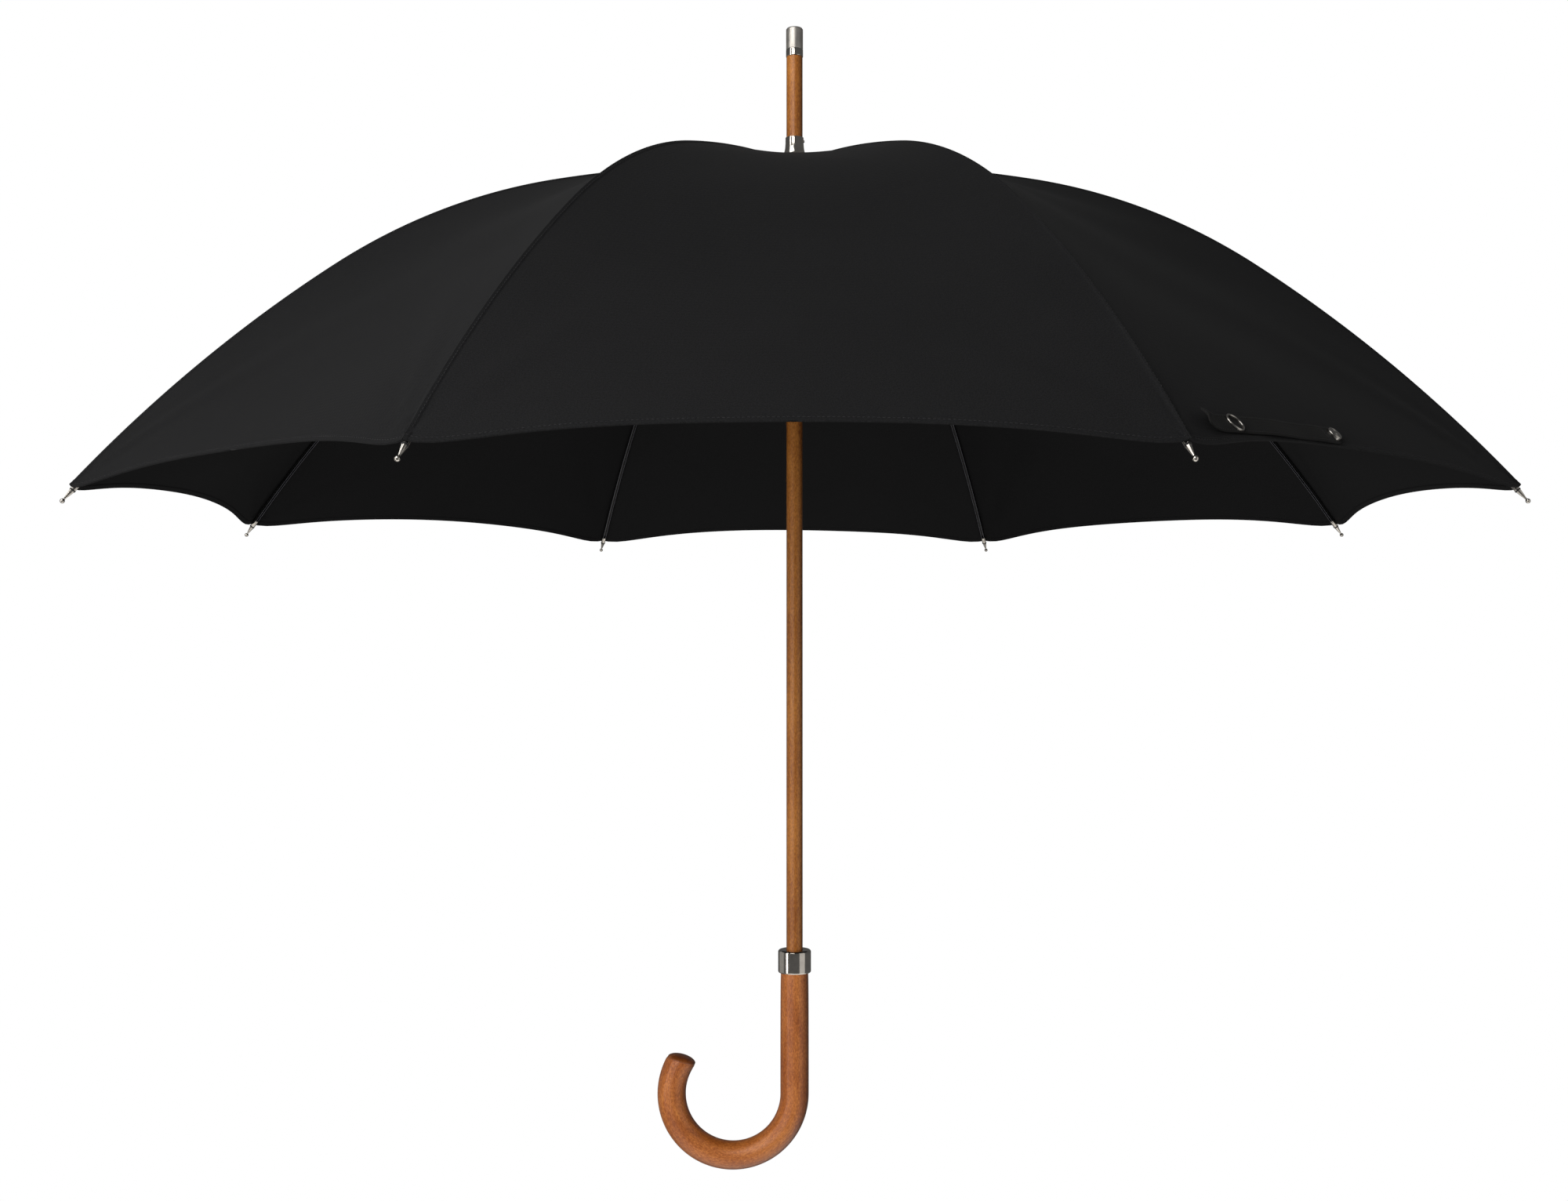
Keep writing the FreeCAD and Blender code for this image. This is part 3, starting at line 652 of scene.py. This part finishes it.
def stitches(number, side):
    """The stitched lines of one half gore: along its hem and, on the lapped side, its seam."""
    rib, panel, across_of = half_of(number, side)
    lapped = side == "a"
    points, faces, shares = [], [], []

    def place(share, distance_of):
        across = across_of(share)
        distance = distance_of(across)
        sideways = share * half_width_at(distance)
        lift = relief(sideways, hem_distance(across) - distance, lapped) + 0.05 * MM
        return gore_point(number, distance, across, lift)

    width = half_width_at(SEAM_LENGTH)
    count = int(width / STITCH_PITCH)
    for step in range(count):
        ends = []
        for part in (0.12, 0.82):
            share = (step + part) / count
            ends.append(place(share, lambda across: hem_distance(across) - HEM_STITCH))
        share = (step + 0.47) / count
        normal = normal_at(number, across_of(share), hem_distance(across_of(share)))
        added = stitch(points, faces, ends[0], ends[1], normal)
        shares += [share] * added
    if lapped:
        distance = 30 * MM
        while distance < SEAM_LENGTH - 10 * MM:
            ends = []
            for part in (0.12, 0.82):
                here = distance + part * STITCH_PITCH
                share = LAP_STITCH / half_width_at(here)
                ends.append(place(share, lambda across, here=here: here))
            normal = normal_at(number, across_of(0.03), distance)
            share = LAP_STITCH / half_width_at(distance)
            added = stitch(points, faces, ends[0], ends[1], normal)
            shares += [share] * added
            distance += STITCH_PITCH
    thing = mesh_object(f"gore_{number + 1}{side}_stitches", points, faces, THREAD)
    set_weights(thing, shares, rib, panel)
    return thing


def normal_at(number, across, distance):
    """The outward normal of a gore's smooth surface."""
    low, high = max(across - 0.004, 0.0), min(across + 0.004, 1.0)
    sideways = gore_point(number, distance, high, rippled=False) - gore_point(
        number, distance, low, rippled=False
    )
    along = gore_point(number, distance + 1e-3, across, rippled=False) - gore_point(
        number, distance - 1e-3, across, rippled=False
    )
    normal = np.cross(along, sideways)
    return normal / np.linalg.norm(normal)


for number in range(8):
    for side in "ab":
        half_panel(number, side)
        stitches(number, side)


# ------------------------------------------------------------------ closing strap

STRAP_GORE = 6  # counted from 0
STRAP_BODIES = ("rib_7", "panel_7a")
STRAP_LENGTH = 168 * MM
STRAP_WIDTH = 15 * MM
STRAP_RISE = 1.5 * MM
STRAP_CLIMB = 3 * MM
STRAP_START = 18 * MM
CURL = 6 * MM
RING_AT, BUTTON_AT = 0.23 * STRAP_LENGTH, 0.945 * STRAP_LENGTH


def strap_place(along, rise, lift):
    """A point on the strap: so far along it, so far above the hem, so far off the cloth."""
    width = 2 * half_width_at(SEAM_LENGTH - HEM_RISE)
    across = (STRAP_START + along) / width
    climb = STRAP_CLIMB * (1 - along / STRAP_LENGTH) ** 2
    plain_hem = SEAM_LENGTH - HEM_RISE * (1 - (2 * across - 1) ** 2)
    distance = plain_hem - climb - rise
    return gore_point(STRAP_GORE, distance, across, lift), 2 * across


def strap_lift(along):
    """The free end curls off the cloth; the rest lies on it with a shallow wave."""
    free = max(1 - along / (26 * MM), 0.0)
    wave = 0.35 * MM * (1 + math.sin(along * 95.0)) * step_up(along, 0.02, 0.05)
    wave *= 1 - step_up(along, STRAP_LENGTH - 0.035, STRAP_LENGTH - 0.012)
    return 0.75 * MM + CURL * free**1.8 + wave


def strap_half_width(along):
    """Half the strap's width: chamfered at the free end, pointed at the sewn one."""
    from_free = min(along / (3 * MM), 1.0)
    from_sewn = min((STRAP_LENGTH - along) / (8 * MM), 1.0)
    return STRAP_WIDTH / 2 * min(0.80 + 0.20 * from_free, 0.25 + 0.75 * from_sewn)


def closing_strap():
    rows, columns = 90, 15
    layers = ([], [])
    shares, uv = [], []
    for row in range(rows):
        along = STRAP_LENGTH * row / (rows - 1)
        half = strap_half_width(along)
        for column in range(columns):
            t = 2 * column / (columns - 1) - 1
            rise = STRAP_RISE + STRAP_WIDTH / 2 + t * half
            edge = 0.30 * MM * step_up(abs(t), 0.9, 1.0)
            groove = 0.16 * MM * math.exp(-(((abs(t) - 0.78) / 0.05) ** 2))
            lift = strap_lift(along)
            top, share = strap_place(along, rise, lift + 0.55 * MM - edge - groove)
            bottom, _ = strap_place(along, rise, lift - 0.35 * MM)
            layers[0].append(top)
            layers[1].append(bottom)
            shares.append(share)
            uv.append((along, t * half))
    count = rows * columns
    faces = grid_faces(rows, columns) + grid_faces(rows, columns, flip=True, first=count)
    rim = rim_of(rows, columns)
    sharp = []
    for here, beside in zip(rim, rim[1:] + rim[:1]):
        faces.append((beside, here, here + count, beside + count))
        sharp += [(here, beside), (here + count, beside + count)]
    strap = mesh_object(
        "closing_strap_cloth", layers[0] + layers[1], faces, STRAP_CLOTH, uv + uv, sharp
    )
    set_weights(strap, shares + shares, *STRAP_BODIES)
    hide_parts("closing_strap")


def strap_stitches():
    """Two lines of stitches along the strap, and a cross line at its sewn end."""
    points, faces, shares = [], [], []
    lines = []
    for t in (-0.78, 0.78):
        along = 4 * MM
        while along < STRAP_LENGTH - 10 * MM:
            lines.append(((along, t), (along + 1.8 * MM, t)))
            along += 2.6 * MM
    for step in range(-3, 3):
        at = STRAP_LENGTH - 20 * MM
        lines.append(((at, (step + 0.1) * 0.25), (at, (step + 0.85) * 0.25)))
    for ends in lines:
        spots = []
        for along, t in ends:
            rise = STRAP_RISE + STRAP_WIDTH / 2 + t * strap_half_width(along)
            spot, share = strap_place(along, rise, strap_lift(along) + 0.50 * MM)
            spots.append(spot)
        normal = normal_at(STRAP_GORE, share / 2, SEAM_LENGTH - STRAP_RISE)
        shares += [share] * stitch(points, faces, spots[0], spots[1], normal)
    thing = mesh_object("closing_strap_stitches", points, faces, THREAD)
    set_weights(thing, shares, *STRAP_BODIES)


def on_strap(along, lift):
    """A frame that stands on the strap: Z along the cloth's normal, X along the strap."""
    rise = STRAP_RISE + STRAP_WIDTH / 2
    centre, share = strap_place(along, rise, lift)
    ahead, _ = strap_place(along + 1 * MM, rise, lift)
    across = share / 2
    up = Vector(normal_at(STRAP_GORE, across, hem_distance(across) - rise))
    sideways = (Vector(ahead) - Vector(centre)).normalized()
    sideways = (sideways - up * sideways.dot(up)).normalized()
    turn = Matrix((sideways, up.cross(sideways), up)).transposed().to_4x4()
    return Matrix.Translation(Vector(centre)) @ turn, share


def strap_fitting(name, along, lift, outline, node):
    """One turned metal fitting on the strap; the outline is in millimetres."""
    where, share = on_strap(along, strap_lift(along) + lift)
    profile = [(radius * MM, height * MM) for radius, height in outline]
    thing = turned(name, profile, DULL_NICKEL, where)
    set_weights(thing, [share] * len(thing.data.vertices), *STRAP_BODIES)
    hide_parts(node)


closing_strap()
strap_stitches()
EYELET = [(5.3, 0.1), (5.35, 1.1), (5.7, 1.5), (6.2, 1.5), (6.6, 1.0), (6.6, 0.0), (6.2, -0.1)]
strap_fitting("strap_ring_eyelet", RING_AT, 0.5 * MM, rounded(EYELET, 0.25), "strap_ring")
STUD = [(5.0, 0.0), (5.0, 1.7), (4.6, 2.3), (4.0, 2.3), (3.75, 2.0), (3.5, 2.3)]
STUD += [(2.5, 2.45), (2.25, 2.1), (2.0, 2.1), (1.75, 2.45), (0.0, 2.6)]
strap_fitting("strap_button_cap", BUTTON_AT, 0.4 * MM, rounded(STUD, 0.2, 2), "strap_button")


# ------------------------------------------------------------------ rib tips


def tip_frame(number):
    """A frame at the end of a rib: Z runs out along the tip."""
    end = Vector(seam(SEAM_LENGTH, RIB_MIDDLE))
    along = Vector(slope_at(SEAM_LENGTH))
    side = Vector((0, 1, 0))
    turn = Matrix((side.cross(along), side, along)).transposed().to_4x4()
    return turn_about_shaft(rib_azimuth(number)) @ Matrix.Translation(end) @ turn


def flutes(angle, share):
    """Crimped flutes that fade out before the ball."""
    depth = 0.10 * (1 - step_up(share, 0.25, 0.55))
    return 1 - depth * (0.5 + 0.5 * math.cos(8 * angle)) ** 2


def rib_tip(number):
    body = f"rib_{number + 1}"
    where = tip_frame(number)
    cup = [(1.75, -5.6), (1.95, -5.7), (2.1, -5.2), (2.1, 0.6), (2.0, 1.2), (1.8, 2.6), (1.55, 4.2)]
    cup += [(1.28, 5.8), (1.0, 7.4), (0.76, 8.8), (0.66, 9.6), (0.72, 10.0)]
    ball_centre, ball = 11.5, 1.7
    for step in range(13):
        angle = -1.13 + (1.13 + math.pi / 2) * step / 12
        cup.append((ball * math.cos(angle), ball_centre + ball * math.sin(angle)))
    cup = [(radius * MM, height * MM) for radius, height in cup]
    tip = turned(f"tip_{number + 1}_cup", cup, NICKEL, where, segments=64, flute=flutes)
    finished(tip, body, "nickel", f"tip_{number + 1}")
    path = []
    for step in range(61):
        angle = 2 * math.pi * 3 * step / 60
        height = (1.0 + 1.1 * step / 60) * MM
        reach = (2.12 - 0.12 * step / 60) * MM
        path.append(where @ Vector((reach * math.cos(angle), reach * math.sin(angle), height)))
    axis = (where.to_3x3() @ Vector((0, 0, 1))).normalized()
    wrap = tube(f"tip_{number + 1}_thread", path, [0.17 * MM] * 61, THREAD, 8, axis)
    finished(wrap, body, "black_fabric")


def rib_lips(number):
    """The two rolled lower edges of a fluted rib, rubbed bright by the cloth."""
    turn = turn_about_shaft(rib_azimuth(number))
    for side in (-1, 1):
        path = []
        for step in range(70):
            distance = 20 * MM + (SEAM_LENGTH - 24 * MM) * step / 69
            point = Vector(seam(distance, RIB_MIDDLE + 1.15 * MM))
            path.append(turn @ (point + Vector((0, side * 1.35 * MM, 0))))
        lip = tube(
            f"rib_{number + 1}_lip_{'left' if side < 0 else 'right'}",
            path,
            [0.22 * MM] * len(path),
            WORN_STEEL,
            6,
            turn.to_3x3() @ Vector((0, 1, 0)),
        )
        finished(lip, f"rib_{number + 1}", "black_steel")


for number in range(8):
    rib_tip(number)
    rib_lips(number)


# ------------------------------------------------------------------ stick, handle and metal


def even_steps(start, end, count):
    return [start + (end - start) * step / (count - 1) for step in range(count)]


CROOK_TURN = math.radians(213)
CROOK_CUT = math.radians(15)  # slope of its end from level


def handle():
    """The bent crook: a straight grip, then an arc, swelling slightly below the collar."""
    low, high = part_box("handle")
    grip_radius = high.y
    crook_radius = -(low.x + grip_radius) / 2
    grip_half = -low.z - crook_radius - grip_radius
    path, radii = [], []
    for height in even_steps(grip_half, -grip_half, 60):
        path.append((0, 0, height))
    for step in range(1, 150):
        turn = CROOK_TURN * step / 149
        path.append(
            (
                -crook_radius * (1 - math.cos(turn)),
                0,
                -grip_half - crook_radius * math.sin(turn),
            )
        )
    for number in range(len(path)):
        share = number / (len(path) - 1)
        neck = 0.35 * MM * math.exp(-number / 6)
        wave = 0.10 * MM * math.sin(9 * share) * math.sin(math.pi * share)
        edge = 0.55 * MM * step_up(number, len(path) - 4, len(path) - 1) ** 2
        radii.append(grip_radius - neck + wave - edge)
    cut = Vector((math.sin(CROOK_CUT), 0, math.cos(CROOK_CUT)))
    crook = tube(
        "handle_crook", path, radii, HANDLE_WOOD, segments=96, end_normal=cut, slant=20
    )
    finished(crook, "root", "handle_wood", "handle")
    where = Matrix.Translation(Vector(path[-1])) @ Matrix.Rotation(CROOK_CUT, 4, "Y")
    where @= Matrix.Diagonal((1.045, 1.0, 1.0, 1.0))
    dome = [(10.6, -0.8), (10.75, 0.0), (10.75, 0.35), (10.4, 1.0), (9.6, 1.75), (8.2, 2.6)]
    dome += [(6.2, 3.3), (4.0, 3.75), (2.0, 3.95), (0.0, 4.0)]
    dome = [(radius * MM, height * MM) for radius, height in rounded(dome, 0.4, 2)]
    plug = turned("handle_plug", dome, PLUG_WOOD, where)
    finished(plug, "root", "dark_wood", "handle_end")


def collar():
    bottom, top = heights("handle_collar")
    radius = half_width("handle_collar")
    shaft_radius = half_width("shaft")
    profile = rounded(
        [
            (radius - 3.5 * MM, bottom - 0.02 * MM),
            (radius - 0.5 * MM, bottom),
            (radius, bottom + 0.9 * MM),
            (radius, top - 1.1 * MM),
            (radius - 1.0 * MM, top),
            (shaft_radius + 1.2 * MM, top + 0.02 * MM),
            (shaft_radius + 0.5 * MM, top - 0.05 * MM),
            (shaft_radius + 0.1 * MM, top - 0.9 * MM),
        ],
        1.0 * MM,
        6,
    )
    ring = turned("collar_ring", profile, NICKEL, segments=128)
    finished(ring, "root", "nickel", "handle_collar")


def ferrule():
    bottom, split = heights("ferrule_band")
    top = heights("ferrule_cap")[1]
    band_radius = half_width("ferrule_cap") + 0.06 * MM
    cap_radius = half_width("ferrule_cap")
    band = rounded(
        [
            (band_radius - 0.9 * MM, bottom + 0.02 * MM),
            (band_radius - 0.1 * MM, bottom),
            (band_radius, bottom + 0.5 * MM),
            (band_radius, split - 0.5 * MM),
            (band_radius - 0.15 * MM, split),
            (band_radius - 0.7 * MM, split),
        ],
        0.35 * MM,
    )
    finished(turned("ferrule_ring", band, NICKEL), "root", "nickel", "ferrule_band")
    cap = rounded(
        [
            (cap_radius - 0.8 * MM, split - 0.3 * MM),
            (cap_radius, split),
            (cap_radius, top - 1.3 * MM),
            (cap_radius - 0.9 * MM, top - 0.15 * MM),
            (cap_radius * 0.55, top),
            (0, top),
        ],
        0.9 * MM,
        6,
    )
    finished(turned("ferrule_end", cap, SATIN), "root", "satin_nickel", "ferrule_cap")


def open_cap():
    """The bell on the crown: a polished neck that flares over the cloth."""
    bottom, top = heights("open_cap")
    rim = half_width("open_cap")
    neck = 7.3 * MM
    outline = [(6.4 * MM, top - 0.6 * MM), (6.5 * MM, top), (neck, top), (neck, top - 3.9 * MM)]
    flare = []
    for step in range(26):
        share = step / 25
        height = top - 4.1 * MM - share * (top - 4.1 * MM - bottom - 0.7 * MM)
        flare.append((neck + (rim - neck - 0.2 * MM) * (0.12 * share + 0.88 * share**3.2), height))
    edge = [(rim, bottom + 0.4 * MM), (rim - 0.3 * MM, bottom), (rim - 0.9 * MM, bottom + 0.2 * MM)]
    profile = rounded(outline, 0.3 * MM) + flare + edge
    finished(turned("open_cap_bell", profile, NICKEL, segments=128), "root", "nickel", "open_cap")
    low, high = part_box("cap_nail")
    height = (low.z + high.z) / 2
    turn = Matrix.Rotation(math.pi / 2, 4, "Y")
    where = Matrix.Translation((neck - 0.3 * MM, 0, height)) @ turn
    head = [(0.55, -1.5), (0.6, 0.2), (1.15, 0.35), (1.05, 0.75), (0.7, 1.0), (0.0, 1.1)]
    head = [(radius * MM, at * MM) for radius, at in head]
    finished(turned("cap_nail_head", head, NICKEL, where, 32), "root", "nickel", "cap_nail")


handle()
collar()
ferrule()
open_cap()

nodes = frame["nodes"]


def give(node, material):
    """Put a material on a CAD node whose own shape is right."""
    mesh = nodes[node].data
    if mesh.materials:
        mesh.materials[0] = material
    else:
        mesh.materials.append(material)


give("shaft", SHAFT_WOOD)
give("notch", RESIN)
give("runner", BLACK_STEEL)
for node in ("notch_wire", "runner_wire", "spring_pins", "top_spring", "hand_spring"):
    give(node, STEEL)
for number in range(8):
    give(f"rib_{number + 1}", BLACK_STEEL)
    give(f"stretcher_{number + 1}", BLACK_STEEL)


# ------------------------------------------------------------------ light and camera


def stage_card(name, centre, size, facing, strength):
    """A glowing flat card, as a softbox, that only shows in reflections."""
    mesh = bpy.data.meshes.new(name)
    width, height = size
    corners = [(-width, -height, 0), (width, -height, 0), (width, height, 0), (-width, height, 0)]
    mesh.from_pydata([tuple(part / 2 for part in corner) for corner in corners], [], [(0, 1, 2, 3)])
    card = bpy.data.objects.new(name, mesh)
    bpy.context.scene.collection.objects.link(card)
    card.location = centre
    aim = Vector(facing) - Vector(centre)
    card.rotation_euler = aim.to_track_quat("Z", "Y").to_euler()
    material = bpy.data.materials.new(name)
    material.use_nodes = True
    shader = material.node_tree.nodes["Principled BSDF"]
    shader.inputs["Base Color"].default_value = (0, 0, 0, 1)
    shader.inputs["Roughness"].default_value = 0.9
    shader.inputs["Specular IOR Level"].default_value = 0.0
    shader.inputs["Emission Color"].default_value = (1, 0.98, 0.95, 1)
    shader.inputs["Emission Strength"].default_value = strength
    mesh.materials.append(material)
    card.visible_camera = False
    card.visible_shadow = False
    card.visible_diffuse = False


def area_light(name, centre, facing, size, power, shown=True):
    """A softbox. One that isn't shown lights things but has no reflection of its own."""
    data = bpy.data.lights.new(name, "AREA")
    data.shape = "RECTANGLE"
    data.size, data.size_y = size
    data.energy = power
    light = bpy.data.objects.new(name, data)
    bpy.context.scene.collection.objects.link(light)
    light.location = centre
    aim = Vector(facing) - Vector(centre)
    light.rotation_euler = aim.to_track_quat("-Z", "Y").to_euler()
    light.visible_glossy = shown


def studio_world(overhead, level, below):
    """White behind the object; a dim room for light and reflections, graded by height."""
    world = bpy.data.worlds.new("studio")
    world.use_nodes = True
    tree = world.node_tree
    room = tree.nodes["Background"]
    room.inputs["Strength"].default_value = 1.0
    direction = add(tree, "ShaderNodeTexCoord")
    split = add(tree, "ShaderNodeSeparateXYZ")
    tree.links.new(direction.outputs["Generated"], split.inputs["Vector"])
    height = add(tree, "ShaderNodeMapRange", From_Min=-1.0, From_Max=1.0)
    tree.links.new(split.outputs["Z"], height.inputs["Value"])
    stops = [(0.0, (below,) * 3), (0.5, (level,) * 3), (1.0, (overhead,) * 3)]
    tree.links.new(ramp(tree, height.outputs["Result"], stops), room.inputs["Color"])
    paper = add(tree, "ShaderNodeBackground", Color=(1, 1, 1, 1), Strength=1.0)
    seen = add(tree, "ShaderNodeLightPath")
    mix = add(tree, "ShaderNodeMixShader")
    tree.links.new(seen.outputs["Is Camera Ray"], mix.inputs["Fac"])
    tree.links.new(room.outputs["Background"], mix.inputs[1])
    tree.links.new(paper.outputs["Background"], mix.inputs[2])
    tree.links.new(mix.outputs["Shader"], tree.nodes["World Output"].inputs["Surface"])
    bpy.context.scene.world = world


CANOPY_MIDDLE = (0, 0, 0.55)
studio_world(0.10, 0.09, 0.18)
area_light("key", (-0.85, -1.95, 0.35), (0, 0, 0.15), (0.8, 1.6), 34, shown=False)
area_light("top", (-0.95, -1.3, 2.2), CANOPY_MIDDLE, (1.6, 1.2), 16)
area_light("back", (0.9, 2.2, 0.7), CANOPY_MIDDLE, (1.2, 1.2), 9, shown=False)
stage_card("key_softbox", (-1.45, -1.05, 0.4), (0.35, 2.2), (0, 0, 0.2), 3.4)
stage_card("high_softbox", (-0.5, -1.7, 1.2), (0.9, 0.5), (0, 0, -0.1), 4.0)
stage_card("right_softbox", (1.1, -0.75, 0.15), (1.0, 1.6), (0, 0, 0.1), 0.60)
stage_card("left_softbox", (-1.3, 0.35, 0.15), (1.2, 1.6), (0, 0, 0.1), 0.32)
stage_card("table", (0.1, -0.3, -0.9), (2.4, 1.6), (0, 0, 0), 1.0)
bpy.context.scene.view_settings.view_transform = "Standard"

CAMERA_LENS = 41.17
CAMERA_PLACE = (-0.0028, -1.4374, 0.317)
CAMERA_PITCH = 0.0194
CAMERA_SHIFT = -0.0045
camera_data = bpy.data.cameras.new("camera")
camera_data.lens = CAMERA_LENS
camera_data.sensor_width = 36.0
camera_data.shift_x = CAMERA_SHIFT
camera_data.clip_start = 0.01
camera = bpy.data.objects.new("camera", camera_data)
camera.location = CAMERA_PLACE
camera.rotation_euler = (math.pi / 2 + CAMERA_PITCH, 0, 0)
bpy.context.scene.collection.objects.link(camera)
bpy.context.scene.camera = camera
